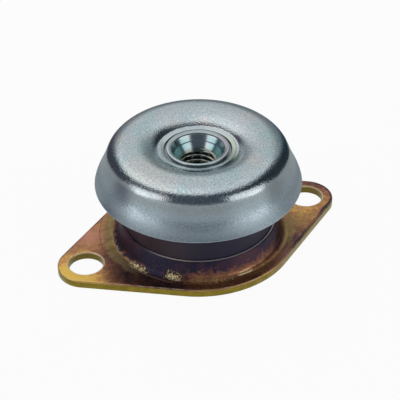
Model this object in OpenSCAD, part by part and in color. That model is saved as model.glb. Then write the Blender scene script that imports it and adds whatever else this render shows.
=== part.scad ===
// Captive bell mount: a threaded hub in a pressed cap, carried by rubber bonded to a flanged base plate.
// Millimetres, +Z up, origin on the seat face under the middle of the hub, fixing holes along X.

/* [Base plate] */
// Distance between the two fixing holes
hole_spacing = 76; // [72:1:88]
// Diameter of each fixing hole
fixing_hole_d = 10.5; // [8.5:0.1:11]
// Diameter of the flange around the boss
flange_d = 60; // [58:1:68]
// Radius of the flange's two tips
tip_r = 8.6; // [7.5:0.1:10]
// Thickness of the plate
plate_t = 2.5; // [2:0.1:3]
// Diameter of the boss where it meets the flange
boss_foot_d = 54.8; // [54:0.2:56]
// Height of the boss's rim above the seat face
boss_h = 8.3; // [7.8:0.1:9.5]
// Slope of the boss's wall, from the horizontal
boss_wall_a = 71; // [68:1:76]
// Inside radius where the boss's wall meets the flange
boss_fillet_r = 2.2; // [1.8:0.1:2.8]
// Outside radius of the boss's rim
boss_edge_r = 0.8; // [0.6:0.1:1.2]
// Diameter at which the boss's crown starts to rise
crown_d = 41; // [39:0.5:43]
// Slope of the crown towards its middle hole
crown_a = 30; // [25:1:34]

/* [Cap] */
// Outside diameter of the rim
cap_d = 63; // [61:0.5:66]
// Height of the cap's crest above the seat face
mount_h = 35.4; // [34:0.2:40]
// Thickness of the cap's sheet
cap_t = 2; // [1.6:0.1:2.2]
// Outside radius of the shoulder
shoulder_r = 6.8; // [6:0.1:8]
// Slope of the skirt below the shoulder, from the vertical
shoulder_a = 19; // [16:1:21]
// Slope of the skirt where it flares most, from the vertical
flare_a = 27; // [25:1:30]
// Height over which the skirt flares
flare_drop = 5.7; // [5:0.1:6.5]
// Slope of the rim, from the vertical
rim_a = 12.7; // [10:0.1:16]
// Height over which the skirt turns down to the rim
lip_drop = 3.9; // [3:0.1:4.5]
// Depth of the dish in the crown, from the crest to the hub's seat
dish_depth = 3.1; // [2.9:0.1:3.6]
// Slope of the dish at its steepest
dish_a = 44; // [36:1:44]
// Width of the flat seat left bare outside the hub's staked ring
seat_gap = 0.2; // [0.1:0.1:0.4]
// Radius where the dish meets the hub's seat
dish_fillet_r = 1.2; // [0.8:0.1:1.6]
// Radius where the dish turns over to the crest
crest_r = 9; // [7:0.1:9.6]
// Least width of the flat crest between the dish and the shoulder
crest_land = 0.4; // [0.2:0.1:1]

/* [Threaded hub] */
// Diameter of the hub's body
hub_d = 22.8; // [22:0.1:23.4]
// Diameter of the neck in the cap's hole
neck_d = 20.4; // [20.2:0.1:20.8]
// Diameter of the ring staked over the cap's sheet
ring_d = 23.1; // [22.4:0.1:24]
// Height of that ring's outer edge above the cap's seat
ring_t = 0.8; // [0.6:0.1:1]
// Fall of the ring's dished face towards the groove
ring_fall = 0.4; // [0.2:0.1:0.5]
// Outside diameter of the mouth ring
mouth_ring_d = 19.1; // [18.4:0.1:19.4]
// Height of the mouth ring above the staked ring's outer edge
mouth_rise = 0.1; // [0:0.1:0.6]
// Depth of the groove between the two rings
groove_depth = 1; // [0.6:0.1:1.4]
// Bevel on the edges of the two rings
ring_bevel = 0.2; // [0.1:0.1:0.3]
// Width of the mouth ring's inner face, which falls to the mouth
mouth_face_w = 0.7; // [0.3:0.1:1]
// Fall of that face
mouth_fall = 0.3; // [0.1:0.1:0.5]
// Diameter of the bore at its mouth
mouth_d = 16.2; // [15:0.1:16.8]
// Depth at which the mouth's cone starts, from the hub's top
mouth_depth = 0.7; // [0.7:0.1:1.2]
// Diameter at which the mouth's cone ends
throat_d = 14; // [13:0.1:14.4]
// Depth at which the mouth's cone ends, from the hub's top
throat_depth = 2.3; // [1.8:0.1:2.8]
// Width and depth of the step below that cone
throat_step = 0.2; // [0.1:0.1:0.3]
// Depth at which the thread starts, from the hub's top
thread_depth = 5.1; // [4.6:0.1:7]
// Diameter inside the thread's crests
thread_minor_d = 10.1; // [8.5:0.1:10.4]
// Chamfer at the thread's lower end
thread_chamfer = 0.9; // [0.5:0.1:1.4]
// Diameter of the spigot that carries the rebound washer
spigot_d = 16; // [15:0.1:17]
// Overhang of the spigot's staked lip
lip_overhang = 1.2; // [0.8:0.1:1.6]
// Thickness of that lip
lip_t = 0.8; // [0.6:0.1:1]

/* [Rebound washer] */
// Outside diameter of the washer
washer_d = 33; // [31:0.5:35]
// Thickness of the washer
washer_t = 2.5; // [2:0.1:3]
// Bevel on the washer's lower edge
washer_bevel = 0.4; // [0.2:0.1:0.8]

/* [Rubber] */
// Width of the boss's rim left bare around the rubber
bare_rim = 0.2; // [0.1:0.1:0.8]
// Thickness of the rubber sleeve between the hub and the plate
sleeve_t = 1.8; // [1.2:0.1:2.4]
// Diameter of the rebound pad under the crown
pad_d = 32; // [30:0.5:34]
// Least thickness of the rebound pad
pad_t = 0.8; // [0.5:0.1:1.2]
// Radius where the rubber spreads out to the cap's skirt
spread_r = 7; // [6.4:0.1:9]

/* [Hidden] */
$fn = 120;
ARC_STEPS = 8;
// How far the boss's profile runs into the flange, and the cuts run past it
lap = 1;

// Where the bell's outer face runs, from the hub outwards
land_z = mount_h - dish_depth;
dish_foot_r = ring_d / 2 + seat_gap;
dish_turn = 1 - cos(dish_a);
dish_straight = (dish_depth - (dish_fillet_r + crest_r) * dish_turn) / sin(dish_a);
crest_in_r = dish_foot_r + (dish_fillet_r + crest_r) * sin(dish_a) + dish_straight * cos(dish_a);
flare_r = flare_drop / (sin(flare_a) - sin(shoulder_a));
lip_r = lip_drop / (sin(flare_a) - sin(rim_a));
skirt_run = flare_r * (cos(shoulder_a) - cos(flare_a)) + lip_r * (cos(rim_a) - cos(flare_a));
// The shoulder's radius, or what the skirt and the least crest leave for it
bend_r = min(shoulder_r, (cap_d / 2 - skirt_run - crest_in_r - crest_land) / cos(shoulder_a));
shoulder_c = [cap_d / 2 - skirt_run - bend_r * cos(shoulder_a), mount_h - bend_r];
flare_c = shoulder_c + (bend_r + flare_r) * [cos(shoulder_a), sin(shoulder_a)];
lip_c = flare_c - (flare_r + lip_r) * [cos(flare_a), sin(flare_a)];

// Where the boss of the base plate runs
foot_r = boss_foot_d / 2;
wall_h = boss_h - plate_t - (boss_fillet_r + boss_edge_r) * (1 - cos(boss_wall_a));
boss_top_r = foot_r - (boss_fillet_r + boss_edge_r) * sin(boss_wall_a) - wall_h / tan(boss_wall_a);
under_fillet_r = boss_fillet_r + plate_t;
under_wall_h = boss_h - 2 * plate_t - boss_fillet_r + under_fillet_r * cos(boss_wall_a);
cavity_r = foot_r - under_fillet_r * sin(boss_wall_a) - under_wall_h / tan(boss_wall_a);
crown_r = crown_d / 2;
crown_hole_r = hub_d / 2 + sleeve_t;

// What hangs under the crown, from the pad down to the hub's end
washer_top_z = crown_under_z(pad_d / 2) - pad_t;
washer_z = washer_top_z - washer_t;
hub_end_z = washer_z - lip_t;
hub_top_z = land_z + ring_t + mouth_rise;
rubber_r = boss_top_r - bare_rim;

// Points on an arc around c, from angle a0 to a1; first = 1 leaves out the start where a line already ends there
function arc(c, r, a0, a1, first = 0) =
    [for (i = [first:ARC_STEPS]) c + r * [cos(a0 + (a1 - a0) * i / ARC_STEPS), sin(a0 + (a1 - a0) * i / ARC_STEPS)]];

function reversed(points) = [for (i = [len(points) - 1:-1:0]) points[i]];

// Height of the crown's upper and lower faces at radius r
function crown_z(r) = boss_h + (crown_r - r) * tan(crown_a);
function crown_under_z(r) = crown_z(r) - plate_t / cos(crown_a);

// The bell's face at depth o inside its outer face, from the hub's seat to where the skirt flares most
function bell_face(o) = concat(
    arc([dish_foot_r, land_z + dish_fillet_r], dish_fillet_r + o, -90, dish_a - 90),
    arc([crest_in_r, mount_h - crest_r], crest_r - o, 90 + dish_a, 90),
    arc(shoulder_c, bend_r - o, 90, shoulder_a),
    arc(flare_c, flare_r + o, 180 + shoulder_a, 180 + flare_a, 1)
);

// The rest of that face, down to the level trimmed edge
function lip_face(o) = arc(lip_c, lip_r - o, flare_a, asin(lip_r * sin(rim_a) / (lip_r - o)), 1);

module cap() {
    color("lightsteelblue") rotate_extrude() polygon(concat(
        [[neck_d / 2, land_z]],
        bell_face(0),
        lip_face(0),
        reversed(lip_face(cap_t)),
        reversed(bell_face(cap_t)),
        [[neck_d / 2, land_z - cap_t]]
    ));
}

module threaded_hub() {
    thread_r = thread_minor_d / 2;
    ring_z = land_z + ring_t;
    groove_z = hub_top_z - groove_depth;
    color("silver") rotate_extrude() polygon([
        [thread_r, hub_end_z + thread_chamfer],
        [thread_r, hub_top_z - thread_depth],
        [throat_d / 2 - throat_step, hub_top_z - throat_depth - throat_step],
        [throat_d / 2, hub_top_z - throat_depth],
        [mouth_d / 2, hub_top_z - mouth_depth],
        [mouth_d / 2, hub_top_z - mouth_fall],
        [mouth_d / 2 + mouth_face_w, hub_top_z],
        [mouth_ring_d / 2 - ring_bevel, hub_top_z],
        [mouth_ring_d / 2, hub_top_z - ring_bevel],
        [mouth_ring_d / 2, groove_z],
        [neck_d / 2 - ring_bevel, groove_z],
        [neck_d / 2, ring_z - ring_fall],
        [ring_d / 2 - ring_bevel, ring_z],
        [ring_d / 2, ring_z - ring_bevel],
        [ring_d / 2, land_z],
        [neck_d / 2, land_z],
        [neck_d / 2, land_z - cap_t],
        [hub_d / 2, land_z - cap_t],
        [hub_d / 2, washer_top_z],
        [spigot_d / 2, washer_top_z],
        [spigot_d / 2, washer_z],
        [spigot_d / 2 + lip_overhang, washer_z],
        [spigot_d / 2 + lip_overhang, hub_end_z + lip_t / 2],
        [spigot_d / 2 + lip_overhang - lip_t / 2, hub_end_z],
        [thread_r + thread_chamfer, hub_end_z]
    ]);
}

module rubber_body() {
    edge = bell_face(cap_t)[len(bell_face(cap_t)) - 1];
    spread_a = acos(1 - (edge[0] - rubber_r) / spread_r);
    spread_c = [rubber_r + spread_r, edge[1] - spread_r * sin(spread_a)];
    color("dimgray") rotate_extrude() polygon(concat(
        [[hub_d / 2, washer_top_z], [hub_d / 2, land_z - cap_t]],
        bell_face(cap_t),
        arc(spread_c, spread_r, 180 - spread_a, 180, 1),
        [
            [rubber_r, boss_h],
            [crown_r, boss_h],
            [crown_hole_r, crown_z(crown_hole_r)],
            [crown_hole_r, crown_under_z(crown_hole_r)],
            [pad_d / 2, crown_under_z(pad_d / 2)],
            [pad_d / 2, washer_top_z]
        ]
    ));
}

// The flange's outline: a large circle and two tip circles joined by their common tangents
module flange_outline() {
    span = hole_spacing / 2;
    tangent_a = acos((flange_d / 2 - tip_r) / span);
    tangent = [cos(tangent_a), sin(tangent_a)];
    circle(d = flange_d);
    for (side = [0, 180]) rotate(side) {
        translate([span, 0]) circle(r = tip_r);
        polygon([
            [0, 0],
            [tangent[0], tangent[1]] * flange_d / 2,
            [span + tip_r * tangent[0], tip_r * tangent[1]],
            [span + tip_r * tangent[0], -tip_r * tangent[1]],
            [tangent[0], -tangent[1]] * flange_d / 2
        ]);
    }
}

module base_plate() {
    color("darkgoldenrod") union() {
        difference() {
            linear_extrude(plate_t) flange_outline();
            translate([0, 0, -lap]) cylinder(r = foot_r, h = plate_t + 2 * lap);
            for (x = [-1, 1] * hole_spacing / 2) translate([x, 0, -lap]) cylinder(d = fixing_hole_d, h = plate_t + 2 * lap);
        }
        rotate_extrude() polygon(concat(
            [[foot_r + lap, plate_t]],
            arc([foot_r, plate_t + boss_fillet_r], boss_fillet_r, 270, 270 - boss_wall_a),
            arc([boss_top_r, boss_h - boss_edge_r], boss_edge_r, 90 - boss_wall_a, 90),
            [
                [crown_r, boss_h],
                [crown_hole_r, crown_z(crown_hole_r)],
                [crown_hole_r, crown_under_z(crown_hole_r)],
                [crown_r - plate_t * tan(crown_a / 2), boss_h - plate_t],
                [cavity_r, boss_h - plate_t]
            ],
            arc([foot_r, under_fillet_r], under_fillet_r, 270 - boss_wall_a, 270),
            [[foot_r + lap, 0]]
        ));
    }
}

module rebound_washer() {
    color("slategray") rotate_extrude() polygon([
        [spigot_d / 2, washer_top_z],
        [spigot_d / 2, washer_z],
        [washer_d / 2 - washer_bevel, washer_z],
        [washer_d / 2, washer_z + washer_bevel],
        [washer_d / 2, washer_top_z]
    ]);
}

cap();
threaded_hub();
rubber_body();
base_plate();
rebound_washer();
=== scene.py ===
# Looks of the rubber anti-vibration mount, in metres, in the part's own frame
import math

import bmesh
import bpy
from mathutils import Matrix, Vector

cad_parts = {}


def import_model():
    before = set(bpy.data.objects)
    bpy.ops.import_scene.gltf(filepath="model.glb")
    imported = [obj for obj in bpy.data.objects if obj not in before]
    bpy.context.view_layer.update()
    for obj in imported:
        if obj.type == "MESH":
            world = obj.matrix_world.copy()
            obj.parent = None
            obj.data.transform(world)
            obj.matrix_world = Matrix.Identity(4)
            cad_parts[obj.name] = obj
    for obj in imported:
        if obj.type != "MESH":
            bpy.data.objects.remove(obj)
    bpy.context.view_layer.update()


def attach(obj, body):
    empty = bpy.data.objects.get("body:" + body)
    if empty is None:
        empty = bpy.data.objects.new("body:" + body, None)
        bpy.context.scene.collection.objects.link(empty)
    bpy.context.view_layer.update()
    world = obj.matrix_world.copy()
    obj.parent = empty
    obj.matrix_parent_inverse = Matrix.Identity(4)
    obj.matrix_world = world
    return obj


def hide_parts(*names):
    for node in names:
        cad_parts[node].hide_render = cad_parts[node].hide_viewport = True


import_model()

# Sizes in millimetres, as in the part's source
HOLE_SPACING, FIXING_HOLE_D, FLANGE_D, TIP_R, PLATE_T = 76.0, 10.5, 60.0, 8.6, 2.5
BOSS_FOOT_D, BOSS_H, BOSS_WALL_A, BOSS_FILLET_R, BOSS_EDGE_R = 54.8, 8.3, 71.0, 2.2, 0.8
CROWN_D, CROWN_A = 41.0, 30.0
CAP_D, MOUNT_H, CAP_T = 63.0, 35.4, 2.0
SHOULDER_R, SHOULDER_A, FLARE_A, FLARE_DROP = 6.8, 19.0, 27.0, 5.7
RIM_A, LIP_DROP = 12.7, 3.9
DISH_DEPTH, DISH_A, SEAT_GAP, DISH_FILLET_R, CREST_R = 3.1, 44.0, 0.2, 1.2, 9.0
HUB_D, NECK_D, RING_D, RING_T, RING_FALL, MOUTH_RING_D = 22.8, 20.4, 23.1, 0.8, 0.4, 19.1
MOUTH_RISE, GROOVE_DEPTH, RING_BEVEL = 0.1, 1.0, 0.2
MOUTH_FACE_W, MOUTH_FALL, MOUTH_D, MOUTH_DEPTH = 0.7, 0.3, 16.2, 0.7
THROAT_D, THROAT_DEPTH, THROAT_STEP, THREAD_DEPTH, RUN_OUT = 14.0, 2.3, 0.2, 5.1, 1.2
THREAD_MINOR_D, THREAD_ROOT_D, THREAD_PITCH, THREAD_CHAMFER = 10.1, 11.9, 1.75, 0.9
SPIGOT_D, LIP_OVERHANG, LIP_T = 16.0, 1.2, 0.8
WASHER_D, WASHER_T, WASHER_BEVEL = 33.0, 2.5, 0.4
BARE_RIM, SLEEVE_T, PAD_D, PAD_T, SPREAD_R = 0.2, 1.8, 32.0, 0.8, 7.0

# Roundings too small for the solids
SHEARED_EDGE_R, BURR_EDGE_R, PUNCHED_EDGE_R = 0.45, 0.15, 0.3

# The thread's form: half the flat at a crest, in pitches, and the slope of flanks at 60 degrees
HALF_CREST, FLANK_SLOPE = 0.125, 3**0.5

# How finely the meshes are cut: parts of a turn, steps along the flange's outline in
# millimetres, parts of a line across the flange, and rows along the thread
FINE_TURN, HUB_TURN, COARSE_TURN = 256, 192, 96
TIP_STEP, ROUND_STEP, FLANK_STEP = 0.3, 0.4, 0.5
FLANGE_PARTS, THREAD_ROWS = 10, 200

# Edges that turn by more degrees than this are sharp: on most pieces, and on the hub and plate
SOFT_A, CRISP_A = 32, 24

# Points nearer than this are one point: in a profile in millimetres, in a mesh and at the seam
# of a turned grid in metres
SAME_POINT, SAME_VERTEX, SAME_SEAM = 1e-4, 2e-6, 1e-6

# The photograph's camera: its turn from +Y towards +X in degrees, its height over the horizon
# and its roll in radians, its place in metres, and its lens and sensor in millimetres
CAMERA_TURN, CAMERA_RISE, CAMERA_ROLL = 25.74, 0.632, -0.013
CAMERA_AT = (-0.1541, -0.3206, 0.2740)
CAMERA_LENS, SENSOR_W = 129.43, 36.0


def sin(degrees):
    return math.sin(math.radians(degrees))


def cos(degrees):
    return math.cos(math.radians(degrees))


def tan(degrees):
    return math.tan(math.radians(degrees))


# Derived sizes of the cap
land_z = MOUNT_H - DISH_DEPTH
dish_foot_r = RING_D / 2 + SEAT_GAP
dish_straight = (DISH_DEPTH - (DISH_FILLET_R + CREST_R) * (1 - cos(DISH_A))) / sin(DISH_A)
crest_in_r = dish_foot_r + (DISH_FILLET_R + CREST_R) * sin(DISH_A) + dish_straight * cos(DISH_A)
flare_r = FLARE_DROP / (sin(FLARE_A) - sin(SHOULDER_A))
lip_r = LIP_DROP / (sin(FLARE_A) - sin(RIM_A))
skirt_run = flare_r * (cos(SHOULDER_A) - cos(FLARE_A)) + lip_r * (cos(RIM_A) - cos(FLARE_A))
shoulder_c = (CAP_D / 2 - skirt_run - SHOULDER_R * cos(SHOULDER_A), MOUNT_H - SHOULDER_R)
flare_c = (
    shoulder_c[0] + (SHOULDER_R + flare_r) * cos(SHOULDER_A),
    shoulder_c[1] + (SHOULDER_R + flare_r) * sin(SHOULDER_A),
)
lip_c = (
    flare_c[0] - (flare_r + lip_r) * cos(FLARE_A),
    flare_c[1] - (flare_r + lip_r) * sin(FLARE_A),
)

# Derived sizes of the plate's boss and of what hangs under it
foot_r = BOSS_FOOT_D / 2
bends = BOSS_FILLET_R + BOSS_EDGE_R
wall_h = BOSS_H - PLATE_T - bends * (1 - cos(BOSS_WALL_A))
boss_top_r = foot_r - bends * sin(BOSS_WALL_A) - wall_h / tan(BOSS_WALL_A)
under_fillet_r = BOSS_FILLET_R + PLATE_T
under_wall_h = BOSS_H - 2 * PLATE_T - BOSS_FILLET_R + under_fillet_r * cos(BOSS_WALL_A)
cavity_r = foot_r - under_fillet_r * sin(BOSS_WALL_A) - under_wall_h / tan(BOSS_WALL_A)
crown_r = CROWN_D / 2
crown_hole_r = HUB_D / 2 + SLEEVE_T

# Direction that the flange's straight flanks face, from the line of the holes
FLANK_A = math.degrees(math.acos((FLANGE_D / 2 - TIP_R) / (HOLE_SPACING / 2)))


def crown_z(r):
    return BOSS_H + (crown_r - r) * tan(CROWN_A)


def crown_under_z(r):
    return crown_z(r) - PLATE_T / cos(CROWN_A)


washer_top_z = crown_under_z(PAD_D / 2) - PAD_T
washer_z = washer_top_z - WASHER_T
hub_end_z = washer_z - LIP_T
hub_top_z = land_z + RING_T + MOUTH_RISE
rubber_r = boss_top_r - BARE_RIM


# Profiles, as (radius, height) in millimetres
def arc(centre, radius, start, end, steps):
    made = []
    for i in range(steps + 1):
        angle = start + (end - start) * i / steps
        made.append((centre[0] + radius * cos(angle), centre[1] + radius * sin(angle)))
    return made


def bell_face(inset):
    """The bell's face at this depth inside its outer face, from the hub's seat to the flare."""
    return (
        arc((dish_foot_r, land_z + DISH_FILLET_R), DISH_FILLET_R + inset, -90, DISH_A - 90, 8)
        + arc((crest_in_r, MOUNT_H - CREST_R), CREST_R - inset, 90 + DISH_A, 90, 16)
        + arc(shoulder_c, SHOULDER_R - inset, 90, SHOULDER_A, 22)
        + arc(flare_c, flare_r + inset, 180 + SHOULDER_A, 180 + FLARE_A, 8)
    )


def lip_face(inset):
    """The rest of that face, down to the level trimmed edge."""
    end = math.degrees(math.asin(lip_r * sin(RIM_A) / (lip_r - inset)))
    return arc(lip_c, lip_r - inset, FLARE_A, end, 10)


def without_doubles(points):
    made = [points[0]]
    for point in points[1:]:
        if math.dist(point, made[-1]) > SAME_POINT:
            made.append(point)
    return made


def walk(points, index, step, reach):
    """The index of the first point past this distance from a corner, and the place at it."""
    left = reach
    while True:
        here, there = points[index], points[index + step]
        length = math.dist(here, there)
        if length > left:
            share = left / length
            place = (here[0] + (there[0] - here[0]) * share, here[1] + (there[1] - here[1]) * share)
            return index + step, place
        left -= length
        index += step


def eased(points, corners, steps=5):
    """The profile with a small curve at each corner, given as its place and its reach."""
    made = without_doubles(points)
    for corner, reach in corners:
        index = min(range(len(made)), key=lambda i: math.dist(made[i], corner))
        before, start = walk(made, index, -1, reach)
        after, end = walk(made, index, 1, reach)
        tip = made[index]
        curve = []
        for i in range(steps + 1):
            t = i / steps
            curve.append(tuple(
                (1 - t) ** 2 * a + 2 * t * (1 - t) * b + t * t * c for a, b, c in zip(start, tip, end)
            ))
        made = made[: before + 1] + curve + made[after:]
    return made


def cap_profile():
    outer, inner = bell_face(0) + lip_face(0), bell_face(CAP_T) + lip_face(CAP_T)
    loop = [(NECK_D / 2, land_z)] + outer + inner[::-1] + [(NECK_D / 2, land_z - CAP_T)]
    return eased(loop, [(outer[-1], 0.4), (inner[-1], 0.35)]) + [(NECK_D / 2, land_z)]


def hub_profile():
    """The hub from the top of the bore's lower cone, over its top and down to the bore's lower end."""
    ring_z, groove_z, throat_z = land_z + RING_T, hub_top_z - GROOVE_DEPTH, hub_top_z - THROAT_DEPTH
    lip = SPIGOT_D / 2 + LIP_OVERHANG
    throat, mouth = (THROAT_D / 2, throat_z), (MOUTH_D / 2, hub_top_z - MOUTH_DEPTH)
    mouth_low, mouth_in = (MOUTH_D / 2, hub_top_z - MOUTH_FALL), (MOUTH_D / 2 + MOUTH_FACE_W, hub_top_z)
    mouth_out = (MOUTH_RING_D / 2 - RING_BEVEL, hub_top_z)
    mouth_side = (MOUTH_RING_D / 2, hub_top_z - RING_BEVEL)
    ring_in, ring_out = (NECK_D / 2, ring_z - RING_FALL), (RING_D / 2 - RING_BEVEL, ring_z)
    ring_side = (RING_D / 2, ring_z - RING_BEVEL)
    lip_side, lip_end = (lip, hub_end_z + LIP_T / 2), (lip - LIP_T / 2, hub_end_z)
    loop = [
        (THROAT_D / 2 - THROAT_STEP, throat_z - THROAT_STEP),
        throat,
        mouth,
        mouth_low,
        mouth_in,
        mouth_out,
        mouth_side,
        (MOUTH_RING_D / 2, groove_z),
        (NECK_D / 2 - RING_BEVEL, groove_z),
        ring_in,
        ring_out,
        ring_side,
        (RING_D / 2, land_z),
        (NECK_D / 2, land_z),
        (NECK_D / 2, land_z - CAP_T),
        (HUB_D / 2, land_z - CAP_T),
        (HUB_D / 2, washer_top_z),
        (SPIGOT_D / 2, washer_top_z),
        (SPIGOT_D / 2, washer_z),
        (lip, washer_z),
        lip_side,
        lip_end,
        (THREAD_MINOR_D / 2 + THREAD_CHAMFER, hub_end_z),
    ]
    corners = [
        (throat, 0.12),
        (mouth, 0.08),
        (mouth_low, 0.08),
        (mouth_in, 0.2),
        (mouth_out, 0.12),
        (mouth_side, 0.12),
        (ring_in, 0.16),
        (ring_out, 0.12),
        (ring_side, 0.12),
        (lip_side, 0.2),
        (lip_end, 0.2),
    ]
    return eased(loop, corners)


def rubber_profile():
    face = bell_face(CAP_T)
    spread_a = math.degrees(math.acos(1 - (face[-1][0] - rubber_r) / SPREAD_R))
    spread_c = (rubber_r + SPREAD_R, face[-1][1] - SPREAD_R * sin(spread_a))
    loop = [(HUB_D / 2, washer_top_z), (HUB_D / 2, land_z - CAP_T)]
    loop += face
    loop += arc(spread_c, SPREAD_R, 180 - spread_a, 180, 16)
    loop += [
        (rubber_r, BOSS_H),
        (crown_r, BOSS_H),
        (crown_hole_r, crown_z(crown_hole_r)),
        (crown_hole_r, crown_under_z(crown_hole_r)),
        (PAD_D / 2, crown_under_z(PAD_D / 2)),
        (PAD_D / 2, washer_top_z),
        (HUB_D / 2, washer_top_z),
    ]
    return without_doubles(loop)


def washer_profile():
    loop = [
        (SPIGOT_D / 2, washer_top_z),
        (SPIGOT_D / 2, washer_z),
        (WASHER_D / 2 - WASHER_BEVEL, washer_z),
        (WASHER_D / 2, washer_z + WASHER_BEVEL),
        (WASHER_D / 2, washer_top_z),
        (SPIGOT_D / 2, washer_top_z),
    ]
    return eased(loop, [(loop[2], 0.2), (loop[3], 0.2)])


def boss_profile():
    """The plate's section inside the boss's foot: its upper face outwards, then its lower face inwards."""
    upper = [(crown_hole_r, crown_z(crown_hole_r)), (crown_r, BOSS_H)]
    upper += arc((boss_top_r, BOSS_H - BOSS_EDGE_R), BOSS_EDGE_R, 90, 90 - BOSS_WALL_A, 8)
    upper += arc((foot_r, PLATE_T + BOSS_FILLET_R), BOSS_FILLET_R, 270 - BOSS_WALL_A, 270, 12)
    lower = arc((foot_r, under_fillet_r), under_fillet_r, 270, 270 - BOSS_WALL_A, 12)
    lower += [
        (cavity_r, BOSS_H - PLATE_T),
        (crown_r - PLATE_T * tan(CROWN_A / 2), BOSS_H - PLATE_T),
        (crown_hole_r, crown_under_z(crown_hole_r)),
    ]
    return without_doubles(upper), without_doubles(lower)


# Node trees, where maths on a socket is written as Python
class Wire:
    """A node's output; an operator on it adds a Math node."""

    def __init__(self, net, socket):
        self.net = net
        self.socket = socket

    def __add__(self, other):
        return self.net.maths("ADD", self, other)

    def __sub__(self, other):
        return self.net.maths("SUBTRACT", self, other)

    def __rsub__(self, other):
        return self.net.maths("SUBTRACT", other, self)

    def __mul__(self, other):
        return self.net.maths("MULTIPLY", self, other)

    def __truediv__(self, other):
        return self.net.maths("DIVIDE", self, other)

    def __rtruediv__(self, other):
        return self.net.maths("DIVIDE", other, self)

    def __abs__(self):
        return self.net.maths("ABSOLUTE", self)

    def __or__(self, other):
        return self.net.maths("MAXIMUM", self, other)

    def __and__(self, other):
        return self.net.maths("MINIMUM", self, other)

    __radd__ = __add__
    __rmul__ = __mul__
    __ror__ = __or__
    __rand__ = __and__

    def between(self, low, high, start=0.0, end=1.0):
        """A smooth step of this value, from start at low to end at high."""
        settings = {"interpolation_type": "SMOOTHSTEP"}
        values = {"Value": self, "From Min": low, "From Max": high, "To Min": start, "To Max": end}
        return self.net.add("ShaderNodeMapRange", settings, values)

    def within(self, start, full, last, end):
        """1 from full to last, and 0 before start and after end."""
        return self.between(start, full) * self.between(end, last)


class Net:
    """A node tree; add() makes any node and gives back its output."""

    def __init__(self, tree):
        self.tree = tree

    def node(self, kind, settings=None, values=None):
        made = self.tree.nodes.new(kind)
        for key, value in (settings or {}).items():
            if key == "stops":
                self.set_stops(made.color_ramp, value)
            else:
                setattr(made, key, value)
        for key, value in (values or {}).items():
            sockets = [s for s in made.inputs if s.name == key and s.enabled]
            socket = made.inputs[key] if isinstance(key, int) else sockets[0]
            if isinstance(value, Wire):
                self.tree.links.new(value.socket, socket)
            else:
                socket.default_value = value
        return made

    def add(self, kind, settings=None, values=None, output=None):
        made = self.node(kind, settings, values)
        shown = [s for s in made.outputs if s.enabled and output in (None, s.name)]
        return Wire(self, shown[0])

    def maths(self, operation, *values):
        return self.add("ShaderNodeMath", {"operation": operation}, dict(enumerate(values)))

    def length(self, along, across):
        """The length of the slope with these two legs."""
        return self.maths("SQRT", along * along + across * across)

    def vector(self, operation, *values, **named):
        given = dict(enumerate(values))
        given.update(named)
        return self.add("ShaderNodeVectorMath", {"operation": operation}, given)

    def mix(self, factor, first, second):
        """A colour between two others."""
        settings = {"data_type": "RGBA", "clamp_factor": True}
        return self.add("ShaderNodeMix", settings, {0: factor, 6: first, 7: second})

    def noise(self, place, scale, detail, roughness):
        values = {"Vector": place, "Scale": scale, "Detail": detail, "Roughness": roughness}
        return self.add("ShaderNodeTexNoise", {}, values, "Fac")

    def ramp(self, factor, stops):
        return self.add("ShaderNodeValToRGB", {"stops": stops}, {"Fac": factor}, "Color")

    def split(self, place):
        made = self.node("ShaderNodeSeparateXYZ", {}, {"Vector": place})
        return [Wire(self, made.outputs[axis]) for axis in "XYZ"]

    def join(self, x, y, z):
        return self.add("ShaderNodeCombineXYZ", {}, {"X": x, "Y": y, "Z": z})

    @staticmethod
    def set_stops(ramp, stops):
        while len(ramp.elements) > 1:
            ramp.elements.remove(ramp.elements[-1])
        for i, (place, colour) in enumerate(stops):
            stop = ramp.elements[0] if i == 0 else ramp.elements.new(place)
            stop.position = place
            stop.color = colour


def rgb(red, green, blue):
    return (red, green, blue, 1.0)


def empty_net(holder):
    """The node tree of a material or a world, with nothing in it yet."""
    holder.use_nodes = True
    holder.node_tree.nodes.clear()
    return Net(holder.node_tree)


def placed(name, data):
    """A new object in the scene, at the origin."""
    made = bpy.data.objects.new(name, data)
    bpy.context.scene.collection.objects.link(made)
    return made


# Geometry trees for the turned pieces
def new_tree(name, inputs):
    """A geometry tree with named inputs and one geometry output."""
    tree = bpy.data.node_groups.new(name, "GeometryNodeTree")
    for label, kind in inputs:
        tree.interface.new_socket(label, in_out="INPUT", socket_type=kind)
    tree.interface.new_socket("Solid", in_out="OUTPUT", socket_type="NodeSocketGeometry")
    net = Net(tree)
    given = net.node("NodeGroupInput")
    return net, {label: Wire(net, given.outputs[label]) for label, _ in inputs}


def round_grid(net, rows, segments):
    """A grid of rows by segments, with the row of each point and its turn about the axis."""
    values = {"Size X": rows - 1, "Size Y": segments, "Vertices X": rows, "Vertices Y": segments + 1}
    grid = net.add("GeometryNodeMeshGrid", {}, values, "Mesh")
    x, y, _ = net.split(net.add("GeometryNodeInputPosition"))
    row = net.maths("ROUND", x + (rows - 1) / 2)
    turn = net.maths("ROUND", y + segments / 2) / segments * math.tau
    return grid, row, turn


def finish_tree(net, grid, place, material):
    """Moves the grid's points to their place, closes the seam and ends the tree."""
    moved = net.add("GeometryNodeSetPosition", {}, {"Geometry": grid, "Position": place})
    values = {"Geometry": moved, "Distance": SAME_SEAM}
    closed = net.add("GeometryNodeMergeByDistance", {}, values)
    real = net.add("GeometryNodeRealizeInstances", {}, {"Geometry": closed})
    finished = net.add("GeometryNodeSetMaterial", {}, {"Geometry": real, "Material": material})
    net.node("NodeGroupOutput", {}, {"Solid": finished})
    return net.tree


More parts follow.
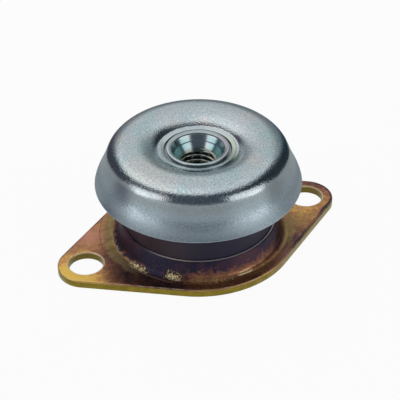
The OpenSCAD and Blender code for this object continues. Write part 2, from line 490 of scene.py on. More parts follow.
def turning_tree():
    """Turns the profile that the object holds once round the axis."""
    net, given = new_tree("Turned profile", [
        ("Profile", "NodeSocketGeometry"),
        ("Points", "NodeSocketInt"),
        ("Segments", "NodeSocketInt"),
        ("Finish", "NodeSocketMaterial"),
    ])
    grid, row, turn = round_grid(net, given["Points"], given["Segments"])
    values = {
        "Geometry": given["Profile"],
        "Value": net.add("GeometryNodeInputPosition"),
        "Index": row,
    }
    settings = {"data_type": "FLOAT_VECTOR", "domain": "POINT"}
    point = net.add("GeometryNodeSampleIndex", settings, values)
    spun = net.add("ShaderNodeVectorRotate", {"rotation_type": "Z_AXIS"}, {"Vector": point, "Angle": turn})
    return finish_tree(net, grid, spun, given["Finish"])


def thread_tree():
    """Cuts a right-handed thread into a bore with a chamfer below and a cone above."""
    net, given = new_tree("Threaded bore", [
        ("Base", "NodeSocketGeometry"),
        ("Low", "NodeSocketFloat"),
        ("High", "NodeSocketFloat"),
        ("Crest radius", "NodeSocketFloat"),
        ("Root radius", "NodeSocketFloat"),
        ("Pitch", "NodeSocketFloat"),
        ("Run-out", "NodeSocketFloat"),
        ("Chamfer", "NodeSocketFloat"),
        ("Cone radius", "NodeSocketFloat"),
        ("Cone depth", "NodeSocketFloat"),
        ("Rows", "NodeSocketInt"),
        ("Segments", "NodeSocketInt"),
        ("Finish", "NodeSocketMaterial"),
    ])
    grid, row, turn = round_grid(net, given["Rows"], given["Segments"])
    low, high, pitch, crest = given["Low"], given["High"], given["Pitch"], given["Crest radius"]
    z = low + (high - low) * row / (given["Rows"] - 1)
    # The 20 whole turns keep the value over zero and change nothing else
    from_crest = net.maths("PINGPONG", z / pitch - turn / math.tau + 20, 0.5)
    thread = crest + (from_crest - HALF_CREST) * pitch * FLANK_SLOPE
    thread = thread & given["Root radius"] & (crest + high - given["Run-out"] - z)
    chamfer = crest + given["Chamfer"] - (z - low)
    cone = crest + (given["Cone radius"] - crest) * (1 - (high - z) / given["Cone depth"])
    radius = thread | crest | chamfer | cone
    place = net.join(radius * net.maths("COSINE", turn), radius * net.maths("SINE", turn), z)
    return finish_tree(net, grid, place, given["Finish"])


def worked(tree, profile, inputs):
    """The mesh that a tree makes of a profile in millimetres."""
    points = [(r / 1000, 0, z / 1000) for r, z in profile]
    base = bpy.data.meshes.new("profile")
    base.from_pydata(points, [(i, i + 1) for i in range(len(points) - 1)], [])
    holder = placed("profile", base)
    modifier = holder.modifiers.new("Form", "NODES")
    modifier.node_group = tree
    for item in tree.interface.items_tree:
        if item.in_out == "INPUT" and item.name in inputs:
            modifier[item.identifier] = inputs[item.name]
    ready = bpy.context.evaluated_depsgraph_get()
    mesh = bpy.data.meshes.new_from_object(holder.evaluated_get(ready))
    holder.modifiers.remove(modifier)
    bpy.data.objects.remove(holder)
    bpy.data.meshes.remove(base)
    return mesh


def turned(profile, material, segments=FINE_TURN):
    """The mesh of a profile in millimetres, turned round the axis."""
    inputs = {"Points": len(profile), "Segments": segments, "Finish": material}
    return worked(turned_tree, profile, inputs)


def closed_up(*meshes):
    """One mesh from several, with its doubles merged and its faces turned outwards."""
    work = bmesh.new()
    for mesh in meshes:
        work.from_mesh(mesh)
    bmesh.ops.remove_doubles(work, verts=work.verts, dist=SAME_VERTEX)
    bmesh.ops.recalc_face_normals(work, faces=work.faces)
    made = meshes[0]
    work.to_mesh(made)
    work.free()
    return made


def piece(name, mesh, node, sharp=SOFT_A):
    """A finished piece at the origin, in place of its CAD node."""
    mesh.name = name
    mesh.shade_smooth()
    mesh.set_sharp_from_angle(angle=math.radians(sharp))
    made = placed(name, mesh)
    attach(made, "root")
    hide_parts(node)


# The base plate, whose section is swept round the flange's outline
def flange_outline():
    """Points and outward normals along the outline: a large circle, two tips and their tangents."""
    span, big, tangent = HOLE_SPACING / 2, FLANGE_D / 2, FLANK_A
    straight = math.sqrt(span**2 - (big - TIP_R) ** 2)
    made = []

    def bend(x, radius, start, end, step):
        count = max(2, round(math.radians(end - start) * radius / step))
        for i in range(count):
            angle = start + (end - start) * i / count
            normal = (cos(angle), sin(angle))
            made.append(((x + radius * normal[0], radius * normal[1]), normal))

    def side(angle, start, end):
        normal = (cos(angle), sin(angle))
        count = round(straight / FLANK_STEP)
        for i in range(count):
            share = i / count
            place = tuple(a + (b - a) * share for a, b in zip(start, end))
            made.append((place, normal))

    for half in (0, 180):
        x = span * cos(half)
        bend(x, TIP_R, half - tangent, half + tangent, TIP_STEP)
        on_tip = (x + TIP_R * cos(half + tangent), TIP_R * sin(half + tangent))
        on_big = (big * cos(half + tangent), big * sin(half + tangent))
        side(half + tangent, on_tip, on_big)
        bend(0, big, half + tangent, half + 180 - tangent, ROUND_STEP)
        on_big = (big * cos(half + 180 - tangent), big * sin(half + 180 - tangent))
        x = -x
        on_tip = (x + TIP_R * cos(half + 180 - tangent), TIP_R * sin(half + 180 - tangent))
        side(half + 180 - tangent, on_big, on_tip)
    return made


def between_ends(start, end):
    """Places that divide the line between two points into equal parts, without its ends."""
    shares = [i / FLANGE_PARTS for i in range(1, FLANGE_PARTS)]
    return [tuple(a + (b - a) * share for a, b in zip(start, end)) for share in shares]


def plate_mesh(material):
    """The plate as spokes, each over its upper face, round its sheared edge and back underneath."""
    upper, lower = boss_profile()
    edge = arc((-SHEARED_EDGE_R, PLATE_T - SHEARED_EDGE_R), SHEARED_EDGE_R, 90, 0, 6)
    edge += arc((-BURR_EDGE_R, BURR_EDGE_R), BURR_EDGE_R, 0, -90, 3)
    spokes = []
    for (x, y), (nx, ny) in flange_outline():
        distance = math.hypot(x, y)
        ux, uy = x / distance, y / distance
        over = [(ux * r, uy * r, z) for r, z in upper]
        rim = [(x + nx * out, y + ny * out, z) for out, z in edge]
        under = [(ux * r, uy * r, z) for r, z in lower]
        spokes.append(over + between_ends(over[-1], rim[0]) + rim + between_ends(rim[-1], under[0]) + under)
    rows = len(spokes[0])
    faces = []
    for i in range(len(spokes)):
        here = i * rows
        following = (i + 1) % len(spokes) * rows
        for j in range(rows):
            beyond = (j + 1) % rows
            faces.append((here + j, following + j, following + beyond, here + beyond))
    points = [tuple(c / 1000 for c in point) for spoke in spokes for point in spoke]
    mesh = bpy.data.meshes.new("plate")
    mesh.from_pydata(points, [], faces)
    mesh.materials.append(material)
    closed_up(mesh)
    return with_fixing_holes(mesh, material)


def with_fixing_holes(mesh, material):
    """The plate with its two punched holes, whose edges are slightly rounded."""
    hole_r, past = FIXING_HOLE_D / 2, 1.0
    wide = hole_r + PUNCHED_EDGE_R
    loop = [(0, -past), (hole_r + BURR_EDGE_R, -past), (hole_r + BURR_EDGE_R, 0), (hole_r, BURR_EDGE_R)]
    loop += arc((wide, PLATE_T - PUNCHED_EDGE_R), PUNCHED_EDGE_R, 180, 90, 6)
    loop += [(wide, PLATE_T + past), (0, PLATE_T + past)]
    plate = placed("plate", mesh)
    cutters = []
    for x in (-HOLE_SPACING / 2, HOLE_SPACING / 2):
        punch = closed_up(turned(without_doubles(loop), material, COARSE_TURN))
        punch.transform(Matrix.Translation((x / 1000, 0, 0)))
        cutter = placed("punch", punch)
        cut = plate.modifiers.new("Hole", "BOOLEAN")
        cut.operation = "DIFFERENCE"
        cut.solver = "EXACT"
        cut.object = cutter
        cutters.append(cutter)
    ready = bpy.context.evaluated_depsgraph_get()
    made = bpy.data.meshes.new_from_object(plate.evaluated_get(ready))
    plate.modifiers.clear()
    for spare in cutters + [plate]:
        bpy.data.objects.remove(spare)
    return closed_up(made)


# Finishes
def new_finish(name):
    """A material, its node tree, and the place on the part in millimetres."""
    made = bpy.data.materials.new(name)
    net = empty_net(made)
    place = net.add("ShaderNodeTexCoord", {}, {}, "Object")
    return made, net, net.vector("SCALE", place, Scale=1000.0)


def surface(net, settings, colour, roughness, height, reach):
    """Ends a material: uniform values, then what changes over the surface."""
    bump = net.add("ShaderNodeBump", {}, {"Strength": 1.0, "Distance": reach, "Height": height})
    values = dict(settings)
    values.update({"Base Color": colour, "Roughness": roughness, "Normal": bump})
    shader = net.add("ShaderNodeBsdfPrincipled", {}, values)
    net.node("ShaderNodeOutputMaterial", {}, {"Surface": shader})


class Spot:
    """A point on the part in millimetres, and the masks that finishes make from it."""

    def __init__(self, net, place):
        self.net = net
        self.x, self.y, self.z = net.split(place)
        self.radius = net.length(self.x, self.y)

    def facing(self, angle):
        """1 in this direction from the axis, in degrees, and -1 in the opposite one."""
        return (self.x * cos(angle) + self.y * sin(angle)) / self.radius

    def sector(self, middle, half, soft):
        """1 in this part of a turn about the axis, with soft ends, in degrees."""
        return self.facing(middle).between(cos(half + soft), cos(half - soft))

    def distance(self, x, y):
        return self.net.length(self.x - x, self.y - y)

    def patch(self, x, y, reach):
        """1 at this place on the plate, 0 from its reach on."""
        return self.distance(x, y).between(reach, 0)


def zinc_sheet_finish():
    """Blue-white zinc on the cap, grained, with warm and cool clouds that are strongest on top."""
    made, net, place = new_finish("zinc_sheet")
    z = net.split(place)[2]
    clouds = net.noise(place, 0.07, 3.0, 0.6)
    tints = net.noise(net.vector("ADD", place, (40.0, 10.0, 7.0)), 0.11, 2.0, 0.5)
    grain = net.noise(place, 1.5, 2.0, 0.6)
    specks = net.noise(place, 3.0, 1.0, 0.5)
    colour = net.mix(clouds.between(0.35, 0.65), rgb(0.53, 0.61, 0.64), rgb(0.59, 0.65, 0.67))
    upper = z.between(31.5, 34, 0.35, 1.0)
    colour = net.mix(tints.between(0.54, 0.68, 0, 0.7) * upper, colour, rgb(0.66, 0.62, 0.61))
    colour = net.mix(tints.between(0.47, 0.34, 0, 0.8) * upper, colour, rgb(0.48, 0.63, 0.65))
    warm = net.vector("LENGTH", net.vector("SUBTRACT", place, (-20.0, -8.0, 34.0)))
    warm = warm.between(14, 5, 0, 0.45) * z.between(33.5, 34.5)
    colour = net.mix(warm, colour, rgb(0.66, 0.63, 0.59))
    colour = net.mix(grain.between(0.52, 0.7, 0, 0.4), colour, rgb(0.64, 0.65, 0.62))
    # Painted reflection: below the shoulder the cap turns bluer and a little paler, for the bluish horizon
    # that the skirt reflects
    colour = net.mix(z.between(31, 27, 0, 0.6), colour, rgb(0.53, 0.64, 0.72))
    rough = z.between(28, 26, 0.35, 0.7) + z.between(31, 34, 0, 0.65)
    uneven = grain.between(0.3, 0.7, -0.11, 0.11) + specks.between(0.3, 0.7, -0.09, 0.09)
    colour = net.vector("SCALE", colour, Scale=1.0 + uneven * rough)
    roughness = 0.12 + clouds.between(0.3, 0.7, 0, 0.05) + grain * 0.06 + z.between(28, 24, 0, 0.18)
    height = (grain * 0.5 + specks * 0.5) * (z.between(28, 25, 0.4, 0.85) + z.between(31, 34, 0, 0.6))
    surface(net, {"Metallic": 1.0}, colour, roughness, height, 0.000065)
    return made


# Direction of the camera's right, in degrees from +X, along which the hub's painted reflection and shade
# are laid out; the bore is painted bluer on this side and the opposite one
CAMERA_RIGHT_A = 334


def zinc_turned_finish():
    """Blue-white zinc on turned steel, with painted reflection and shade laid out by the camera's view:
    bluer sides in the bore, a dark groove and mouth back, and a darker, browner thread.
    """
    made, net, place = new_finish("zinc_turned")
    at = Spot(net, place)
    radius, z = at.radius, at.z
    clouds = net.noise(place, 0.25, 2.0, 0.5)
    grain = net.noise(place, 2.5, 2.0, 0.6)
    rings = net.noise(net.join(radius, z, 0.0), 3.0, 2.0, 0.7)
    colour = net.mix(clouds.between(0.35, 0.65), rgb(0.53, 0.62, 0.64), rgb(0.63, 0.69, 0.69))
    right, behind = at.facing(CAMERA_RIGHT_A), at.facing(CAMERA_RIGHT_A + 90)
    across = abs(right)
    # Painted reflection: the bore's walls towards the camera's left and right are teal, with a paler, less
    # metallic teal band lower down
    bore = radius.between(8.1, 7.6) * z.between(26.0, 29.0)
    colour = net.mix(bore * across.between(0.35, 0.8, 0.2, 0.9), colour, rgb(0.34, 0.60, 0.62))
    film = across.between(0.72, 0.92) * z.between(31.1, 30.7) * z.between(27.2, 28.2) * bore
    colour = net.mix(film * 0.8, colour, rgb(0.32, 0.72, 0.70))
    # Painted shade in the groove between the mouth ring and the outer ring
    groove_shade = radius.within(9.55, 9.65, 10.2, 10.35) * z.between(33.0, 32.8)
    colour = net.mix(groove_shade * 0.8, colour, rgb(0.14, 0.17, 0.18))
    outer_ring = right.between(0.7, 0.97, 0, 0.6) * radius.between(10.2, 10.4)
    colour = net.mix(outer_ring, colour, rgb(0.68, 0.74, 0.54))
    mouth = radius.within(8.0, 8.2, 9.6, 9.7) * z.between(32.7, 32.9)
    # Painted shade on the mouth ring's back, away from the camera
    colour = net.mix(mouth * behind.between(-0.3, 0.5, 0, 0.6), colour, rgb(0.36, 0.42, 0.43))
    colour = net.mix(mouth * right.between(0.4, 0.9, 0, 0.8), colour, rgb(0.45, 0.41, 0.46))
    # Painted shade deep in the bore: the thread is darker and browner, darkest towards and away from the
    # camera
    thread = radius.between(7.0, 6.4) * z.between(29.6, 28.6)
    brown = net.mix(across.between(0.2, 0.6), rgb(0.26, 0.28, 0.26), rgb(0.34, 0.35, 0.28))
    colour = net.mix(thread * 0.9, colour, brown)
    roughness = 0.14 + grain * 0.08 + rings * 0.06
    height = rings * 0.6 + grain * 0.4
    # The painted teal band is less metallic, so that it shows pale
    metal = 1 - film * 0.45
    surface(net, {"Metallic": metal}, colour, roughness, height, 0.00002)
    return made


def rubber_finish():
    """Dark rubber, which is paler and redder at the left."""
    made, net, place = new_finish("rubber")
    x = net.split(place)[0]
    clouds = net.noise(place, 0.3, 3.0, 0.6)
    grain = net.noise(place, 3.0, 3.0, 0.6)
    colour = net.mix(clouds.between(0.3, 0.7), rgb(0.010, 0.008, 0.034), rgb(0.015, 0.011, 0.042))
    colour = net.mix(x.between(-8, -18, 0, 0.8), colour, rgb(0.060, 0.034, 0.046))
    roughness = 0.42 + clouds * 0.14
    surface(net, {"Specular IOR Level": 0.4}, colour, roughness, grain, 0.00002)
    return made


def film_colour(net, at, hole, clouds, mottle, grain):
    """The chromate's colour by its film: thin and gold at the left tip, thick and brown before the boss."""
    film = 0.42 + clouds.between(0.3, 0.7, -0.10, 0.10) + mottle.between(0.3, 0.7, -0.11, 0.11)
    film = film + grain.between(0.3, 0.7, -0.12, 0.12)
    film = film - at.patch(-45, -3, 14) * 0.42 - at.patch(-40, -9, 8) * 0.34 + at.patch(-32, 0, 8) * 0.26
    film = film + at.radius.between(36, 31) * at.sector(214, 16, 14) * 0.5
    film = film - at.patch(34, -5, 9) * 0.26 + at.patch(44, 4, 10) * 0.34 + at.patch(22, -19, 13) * 0.34
    lower_right = at.x * cos(-FLANK_A) + at.y * sin(-FLANK_A) + mottle * 0.3
    film = film + lower_right.between(29.1, 29.3, 0, 0.34) * at.x.between(14, 20)
    upper_left = at.y * sin(FLANK_A) - at.x * cos(FLANK_A)
    film = film + upper_left.between(29.2, 29.5, 0, 0.35) * at.x.between(-14, -20)
    film = film + hole.between(7.6, 8.0, 0, 0.3) * at.x.between(36, 40) * at.y.between(7, 3)
    film = film + at.z.between(2.7, 4.8, 0, 0.22)
    return net.ramp(film, [
        (0.0, rgb(0.95, 0.62, 0.13)),
        (0.15, rgb(0.88, 0.47, 0.14)),
        (0.30, rgb(0.62, 0.32, 0.12)),
        (0.42, rgb(0.50, 0.24, 0.12)),
        (0.55, rgb(0.38, 0.16, 0.09)),
        (0.70, rgb(0.25, 0.11, 0.08)),
        (0.85, rgb(0.14, 0.07, 0.07)),
        (1.00, rgb(0.06, 0.04, 0.06)),
    ])


def tinted(net, at, hole, mottle, colour):
    """The chromate with its rose, olive and tan parts, painted highlights on the fillet, painted dark
    reflection on its sheared side and underside, and painted shade on its holes' walls.
    """
    radius, sector = at.radius, at.sector
    rose = at.patch(-32, 12, 7) * 0.8 + radius.between(27, 29) * sector(301, 9, 8) * 0.6
    rose = rose | at.patch(33, -2, 6) * mottle.between(0.42, 0.6)
    colour = net.mix(rose, colour, rgb(0.68, 0.31, 0.22))
    ragged = radius + mottle.between(0.3, 0.7, -0.6, 0.6)
    foot_band = radius.between(26.2, 26.8) * ragged.between(30.4, 28.8)
    olive = foot_band * (sector(162, 36, 10) + sector(333, 12, 8) * 0.8)
    tarnish = net.mix(mottle.between(0.35, 0.65), rgb(0.36, 0.27, 0.10), rgb(0.25, 0.17, 0.07))
    colour = net.mix(olive * 0.85, colour, tarnish)
    colour = net.mix(at.patch(29, -10, 9) * 0.55, colour, rgb(0.30, 0.20, 0.08))
    # Painted highlight along the fillet at the boss's foot, at the right
    right_fillet_highlight = radius.within(26.7, 27.1, 27.4, 28.0) * sector(300, 30, 10)
    colour = net.mix(right_fillet_highlight * 0.45, colour, rgb(0.58, 0.38, 0.12))
    tan_ring = radius.between(27.0, 27.8) * ragged.between(30.4, 29.2) * sector(192, 8, 8)
    colour = net.mix(tan_ring * 0.6, colour, rgb(0.56, 0.37, 0.22))
    # Painted highlight on the fillet at the front left, where the left lamp shows
    left_fillet_highlight = radius.within(26.9, 27.1, 27.5, 27.7) * sector(213, 12, 6)
    colour = net.mix(left_fillet_highlight * 0.6, colour, rgb(0.70, 0.48, 0.36))
    # Painted reflection: the sheared side and the underside are dark olive, for the dark that they reflect
    sheared = at.z.between(2.25, 1.95) * radius.between(27.8, 28.0)
    side_shade_colour = net.mix(mottle.between(0.3, 0.7), rgb(0.18, 0.14, 0.015), rgb(0.27, 0.20, 0.03))
    colour = net.mix(sheared, colour, side_shade_colour)
    # Painted shade on the holes' walls
    hole_shade = hole.between(5.4, 5.3) * at.z.between(2.35, 2.15)
    return net.mix(hole_shade * 0.75, colour, rgb(0.12, 0.09, 0.025))


def shaded_under_cap(net, at, clouds, mottle, grain, colour):
    """Where the boss's wall under the cap is painted dark, as painted shade and the dark it reflects, with
    an irregular lower edge, and the colour with it.
    """
    edge = 5.1 + mottle.between(0.3, 0.7, -1.3, 1.3) + grain.between(0.3, 0.7, -0.6, 0.6)
    edge = edge - (at.sector(213, 8, 3) * 3.3 | at.sector(160, 36, 8) * 2.6)
    under_cap_shade = (at.z - edge).between(-0.3, 0.5) * at.radius.between(26.9, 26.7)
    dark = net.mix(clouds.between(0.4, 0.6), rgb(0.042, 0.038, 0.075), rgb(0.10, 0.050, 0.075))
    dark = net.mix(grain.between(0.5, 0.7, 0, 0.5), dark, rgb(0.17, 0.10, 0.09))
    return under_cap_shade, net.mix(under_cap_shade, colour, dark)


def chromate_finish():
    """Yellow chromate, from gold to violet as its film gets thicker, with painted shade on the boss under
    the cap and painted highlights on its edges.
    """
    made, net, place = new_finish("yellow_chromate")
    at = Spot(net, place)
    radius, sector, z = at.radius, at.sector, at.z
    hole = net.length(abs(at.x) - HOLE_SPACING / 2, at.y)
    clouds = net.noise(place, 0.12, 3.0, 0.6)
    mottle = net.noise(net.vector("ADD", place, (9.0, 4.0, 2.0)), 0.5, 3.0, 0.65)
    grain = net.noise(place, 1.8, 3.0, 0.7)
    glints = net.noise(place, 1.7, 3.0, 0.75)
    colour = film_colour(net, at, hole, clouds, mottle, grain)
    colour = tinted(net, at, hole, mottle, colour)
    under_cap_shade, colour = shaded_under_cap(net, at, clouds, mottle, grain, colour)

    # Painted highlights: pale gold glints in clusters along the boss's foot, on real bumps, and pale lines
    # on the rim's edge, round the holes, on the fillet and along the plate's upper edge
    foot = radius.within(25.3, 26.2, 27.2, 27.8)
    wall_foot = radius.within(24.5, 25.6, 26.0, 27.0)
    cluster = foot * sector(200, 5, 6) + foot * sector(252, 16, 10) * 0.3 + wall_foot * sector(226, 2, 5)
    glint_flecks = (glints + cluster * 0.22).between(0.62, 0.70) * cluster.between(0.05, 0.3) * z.between(2.1, 2.4)
    # Painted highlight: a pale, less metallic line on the rim's rounded edge, across the front
    rim = radius.within(23.2, 23.3, 23.6, 23.75) * z.between(7.4, 7.6)
    rim = rim * (sector(268, 60, 10) * 0.7 + sector(216, 15, 12) * 0.27)
    # Painted highlight: pale gold on the holes' rounded upper edges
    hole_edge_highlight = hole.between(5.85, 5.6) * z.between(2.1, 2.3) * 0.6
    colour = net.mix(glint_flecks | hole_edge_highlight, colour, rgb(1.0, 0.80, 0.44))
    # Painted highlight: an orange streak on the fillet at the right, where the right lamp shows
    highlight_streak = radius.within(25.2, 26.1, 26.3, 27.1) * sector(276, 4, 4)
    highlight_streak = (highlight_streak + glints * 0.5 - 0.25).between(0.25, 0.95)
    colour = net.mix(highlight_streak, colour, rgb(1.0, 0.64, 0.36))
    colour = net.mix(rim, colour, rgb(0.95, 0.90, 0.90))
    # Painted highlight: a pale, mottled line on the rounding of the plate's upper edge
    corner = z.within(2.2, 2.28, 2.44, 2.49) * radius.between(27.8, 28.0)
    colour = net.mix(corner * mottle.between(0.35, 0.6, 0.1, 0.7), colour, rgb(0.80, 0.58, 0.36))

    # Scratches at the right, and the mark of the press's die at the left
    scratches = abs(net.noise(place, 0.55, 3.0, 0.6) - 0.5).between(0.010, 0.003)
    scratches = scratches * at.distance(32, -4).between(8, 5) * radius.between(28, 29)
    colour = net.mix(scratches * 0.8, colour, rgb(0.10, 0.06, 0.05))
    die_mark = radius.within(30.7, 30.8, 30.9, 31.0) * z.between(2.3, 2.4)
    colour = net.mix(die_mark * sector(165, 26, 8) * 0.7, colour, rgb(0.12, 0.08, 0.05))

    roughness = 0.25 + grain * 0.18 + under_cap_shade * 0.1 - (glint_flecks | highlight_streak) * 0.12
    height = grain + glint_flecks * glints * 12
    metal = 0.82 - rim * 0.6
    surface(net, {"Metallic": metal, "Specular IOR Level": 0.2}, colour, roughness, height, 0.000018)
    return made


# The object's pieces
turned_tree = turning_tree()
zinc_sheet, zinc_turned = zinc_sheet_finish(), zinc_turned_finish()
rubber, chromate = rubber_finish(), chromate_finish()

piece("pressed_cap", closed_up(turned(cap_profile(), zinc_sheet)), "cap")

# The thread's tree doesn't use the profile of the object that carries it
thread = worked(thread_tree(), [(0, 0), (1, 1)], {
    "Low": hub_end_z / 1000,
    "High": (hub_top_z - THROAT_DEPTH - THROAT_STEP) / 1000,
    "Crest radius": THREAD_MINOR_D / 2000,
    "Root radius": THREAD_ROOT_D / 2000,
    "Pitch": THREAD_PITCH / 1000,
    "Run-out": RUN_OUT / 1000,
    "Chamfer": THREAD_CHAMFER / 1000,
    "Cone radius": (THROAT_D / 2 - THROAT_STEP) / 1000,
    "Cone depth": (THREAD_DEPTH - THROAT_DEPTH - THROAT_STEP) / 1000,
    "Rows": THREAD_ROWS,
    "Segments": HUB_TURN,
    "Finish": zinc_turned,
})
hub = closed_up(turned(hub_profile(), zinc_turned, HUB_TURN), thread)
piece("tapped_hub", hub, "threaded_hub", CRISP_A)
piece("rubber_block", closed_up(turned(rubber_profile(), rubber)), "rubber_body")
piece("flange_plate", plate_mesh(chromate), "base_plate", CRISP_A)
washer = closed_up(turned(washer_profile(), zinc_turned, HUB_TURN))
piece("rebound_disc", washer, "rebound_washer")


# Studio: camera, lamps, floor, and the grey surroundings that the metal reflects

# Height near the object's middle that the studio's directions start from
MIDDLE_Z = 0.02

# The overhead lamp: its middle to the camera's right and towards it, its height over that middle,
# its two diameters, and the turn of the longer one from the camera's right towards the camera
LAMP_AT, LAMP_HEIGHT = (-0.18, -0.38), 0.61
LAMP_LENGTH, LAMP_WIDTH, LAMP_TURN = 1.47, 1.17, 36.4
LAMP_LEVEL, LAMP_GLOW = 0.68, 0.30

# The side lamps: their distance from the object and how high they stand over it in degrees
SIDE_DISTANCE, SIDE_RISE_A = 1.2, 23

# The floor: half its width, how far it lies under the part, and how white the camera sees it
FLOOR_REACH, FLOOR_DROP, FLOOR_WHITE = 3, 0.0002, 0.94

# The surroundings in millimetres: the table's height, the walls' radius, and the heights
# where the walls start and where the dome over them starts
TABLE_Z, WALL_R, WALL_Z, DOME_Z = 0.4, 1500, 60, 500

# Strength of the white world for the rays that seen_rays() leaves out
WORLD_LIGHT = 0.25


def seen_from(right, near, up):
    """A place given to the camera's right, towards it and upwards, in the part's frame."""
    turn = math.radians(CAMERA_TURN)
    across = Vector((math.cos(turn), -math.sin(turn), 0))
    toward = Vector((-math.sin(turn), -math.cos(turn), 0))
    return across * right + toward * near + Vector((0, 0, up))


def camera():
    data = bpy.data.cameras.new("camera")
    data.lens = CAMERA_LENS
    data.sensor_width = SENSOR_W
    data.clip_start = 0.01
    data.clip_end = 20
    made = placed("camera", data)
    right, ahead = seen_from(1, 0, 0), seen_from(0, -1, 0)
    forward = ahead * math.cos(CAMERA_RISE) - Vector((0, 0, math.sin(CAMERA_RISE)))
    up = right.cross(forward)
    level = Matrix((right, up, -forward)).transposed()
    roll = Matrix.Rotation(CAMERA_ROLL, 3, "Z")
    made.matrix_world = Matrix.Translation(CAMERA_AT) @ (level @ roll).to_4x4()
    bpy.context.scene.camera = made


def softbox(name, place, facing, width, height, level, turn, shape="RECTANGLE"):
    """A lamp that looks this bright in a mirror.

    Its width runs to the camera's right before it is turned, in degrees.
    """
    area = width * height * (math.pi / 4 if shape == "ELLIPSE" else 1)
    data = bpy.data.lights.new(name, "AREA")
    data.shape = shape
    data.size = width
    data.size_y = height
    data.energy = level * math.pi * area
    made = placed(name, data)
    normal = -facing.normalized()
    along = seen_from(1, 0, 0)
    along = (along - normal * along.dot(normal)).normalized()
    axes = Matrix((along, normal.cross(along), normal)).transposed()
    spin = Matrix.Rotation(math.radians(turn), 3, "Z")
    made.matrix_world = Matrix.Translation(place) @ (axes @ spin).to_4x4()
    made.visible_camera = False


def side_softbox(name, azimuth, width, height, level, turn):
    """A softbox at this azimuth from the camera's side of the object, which it faces."""
    flat = SIDE_DISTANCE * cos(SIDE_RISE_A)
    place = seen_from(flat * sin(azimuth), flat * cos(azimuth), SIDE_DISTANCE * sin(SIDE_RISE_A))
    softbox(name, place + Vector((0, 0, MIDDLE_Z)), -place, width, height, level, turn)


def seen_rays(net):
    """1 for the rays that see the background as white: camera, glossy and transmission rays."""
    path = net.node("ShaderNodeLightPath")
    rays = [Wire(net, path.outputs[f"Is {kind} Ray"]) for kind in ("Camera", "Glossy", "Transmission")]
    return rays[0] | rays[1] | rays[2]


def floor():
    """A white floor, on which the object leaves a faint shadow."""
    mesh = bpy.data.meshes.new("floor")
    corners = ((-1, -1), (1, -1), (1, 1), (-1, 1))
    points = [(x * FLOOR_REACH, y * FLOOR_REACH, -FLOOR_DROP) for x, y in corners]
    mesh.from_pydata(points, [], [(0, 1, 2, 3)])
    material = bpy.data.materials.new("floor")
    net = empty_net(material)
    paper = net.add("ShaderNodeBsdfDiffuse", {}, {"Color": rgb(0.9, 0.9, 0.9)})
    white = net.add("ShaderNodeEmission", {}, {"Color": rgb(1, 1, 1), "Strength": 1.0})
    share = seen_rays(net) * FLOOR_WHITE
    both = net.add("ShaderNodeMixShader", {}, {0: share, 1: paper, 2: white})
    net.node("ShaderNodeOutputMaterial", {}, {"Surface": both})
    mesh.materials.append(material)
    placed("floor", mesh)


def in_lamp(right, near, height):
    """1 where the line of sight to this place passes through the overhead lamp's outline."""
    out, back = right / height * LAMP_HEIGHT - LAMP_AT[0], near / height * LAMP_HEIGHT - LAMP_AT[1]
    along = (out * cos(LAMP_TURN) + back * sin(LAMP_TURN)) / (LAMP_LENGTH / 2)
    across = (back * cos(LAMP_TURN) - out * sin(LAMP_TURN)) / (LAMP_WIDTH / 2)
    return (along * along + across * across).between(1.0, 0.85)


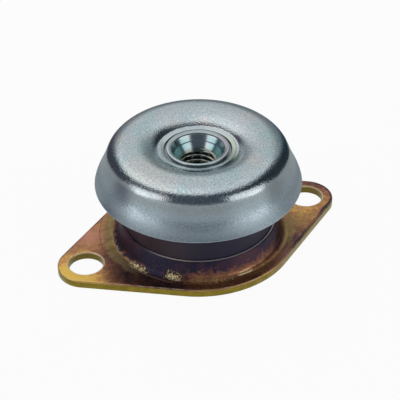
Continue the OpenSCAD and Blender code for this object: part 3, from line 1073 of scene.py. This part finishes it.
def studio_light(net):
    """The light of each place round the object, by its direction, with angles in degrees."""
    x, y, z = net.split(net.add("ShaderNodeTexCoord", {}, {}, "Object"))
    to_right, to_camera = seen_from(1, 0, 0), seen_from(0, 1, 0)
    right = x * to_right.x + y * to_right.y
    near = x * to_camera.x + y * to_camera.y
    flat = net.length(x, y)
    azimuth = net.maths("ARCTAN2", right, near) * (180 / math.pi)
    rise = net.maths("ARCTAN2", z - MIDDLE_Z, flat) * (180 / math.pi)
    side = abs(azimuth)
    inside = in_lamp(right, near, (z - MIDDLE_Z) | 0.001)

    # A pale band round the horizon, brightest beside the side lamps; its edge sinks towards the back
    edge = 16 - side.between(25, 50, 0, 1.0) - side.between(88, 108, 0, 14) - side.between(108, 140, 0, 13)
    band = 0.41 + side.between(18, 55, 0, 0.17) - side.between(72, 88, 0, 0.22)
    low_side = 0.24 - azimuth.between(30, 70, 0, 0.15)
    band = band - side.between(110, 90) * rise.between(8, -10) * low_side

    # Above it the dark studio, and behind the object the paler wall, which gets brighter with height
    # and to the left
    leftwards = (right / flat).between(0.4, -0.5)
    wall = 0.22 + rise.between(5, 42, 0, 0.28) + leftwards * rise.between(3, 36, 0, 0.36)
    dark = 0.085 - azimuth.between(-50, -90, 0, 0.02) - azimuth.between(50, 90, 0, 0.05)
    dark = dark + (side + rise * 0.6).between(142, 160) * (1 - inside) * (wall - dark)
    low = (rise - edge).between(1.5, -1.5)
    level = dark + low * (band - dark)

    # The lamp's cloth, brighter to the left and the front, and a little at the right rear
    lean = (near * 0.6 - right * 0.8) / net.length(flat, z)
    right_rear = azimuth.between(70, 100, 0, 0.08) * azimuth.between(165, 140)
    level = level + inside * (lean.between(-0.3, 0.4, 0, LAMP_GLOW) + right_rear)
    shade = net.mix(azimuth.between(-90, 90), rgb(0.95, 0.95, 1.25), rgb(0.70, 1.0, 1.25))
    cool = net.mix(level.between(0.1, 0.3), shade, rgb(0.95, 1.0, 1.02))
    return net.add("ShaderNodeEmission", {}, {"Color": cool, "Strength": level})


def surroundings():
    """The studio's table and walls, which only the object's reflections show."""
    material = bpy.data.materials.new("surroundings")
    net = empty_net(material)
    net.node("ShaderNodeOutputMaterial", {}, {"Surface": studio_light(net)})
    profile = [(r, TABLE_Z) for r in (48, 120, 300, 700, 1400)] + [(WALL_R, WALL_Z), (WALL_R, DOME_Z)]
    profile += arc((0, DOME_Z), WALL_R, 0, 90, 12)[1:]
    made = placed("surroundings", turned(profile, material, COARSE_TURN))
    made.visible_camera = False
    made.visible_diffuse = False
    made.visible_shadow = False


def world():
    made = bpy.data.worlds.new("backdrop")
    bpy.context.scene.world = made
    net = empty_net(made)
    strength = WORLD_LIGHT + seen_rays(net) * (1 - WORLD_LIGHT)
    light = net.add("ShaderNodeBackground", {}, {"Color": rgb(1, 1, 1), "Strength": strength})
    net.node("ShaderNodeOutputWorld", {}, {"Surface": light})


camera()
floor()
surroundings()
world()
lamp_at, down = seen_from(*LAMP_AT, LAMP_HEIGHT + MIDDLE_Z), Vector((0, 0, -1))
softbox("top_softbox", lamp_at, down, LAMP_LENGTH, LAMP_WIDTH, LAMP_LEVEL, -LAMP_TURN, "ELLIPSE")
side_softbox("left_softbox", azimuth=-63, width=0.88, height=0.52, level=1.08, turn=-12)
side_softbox("right_softbox", azimuth=60, width=0.94, height=0.50, level=1.05, turn=13)
bpy.context.scene.view_settings.view_transform = "Standard"
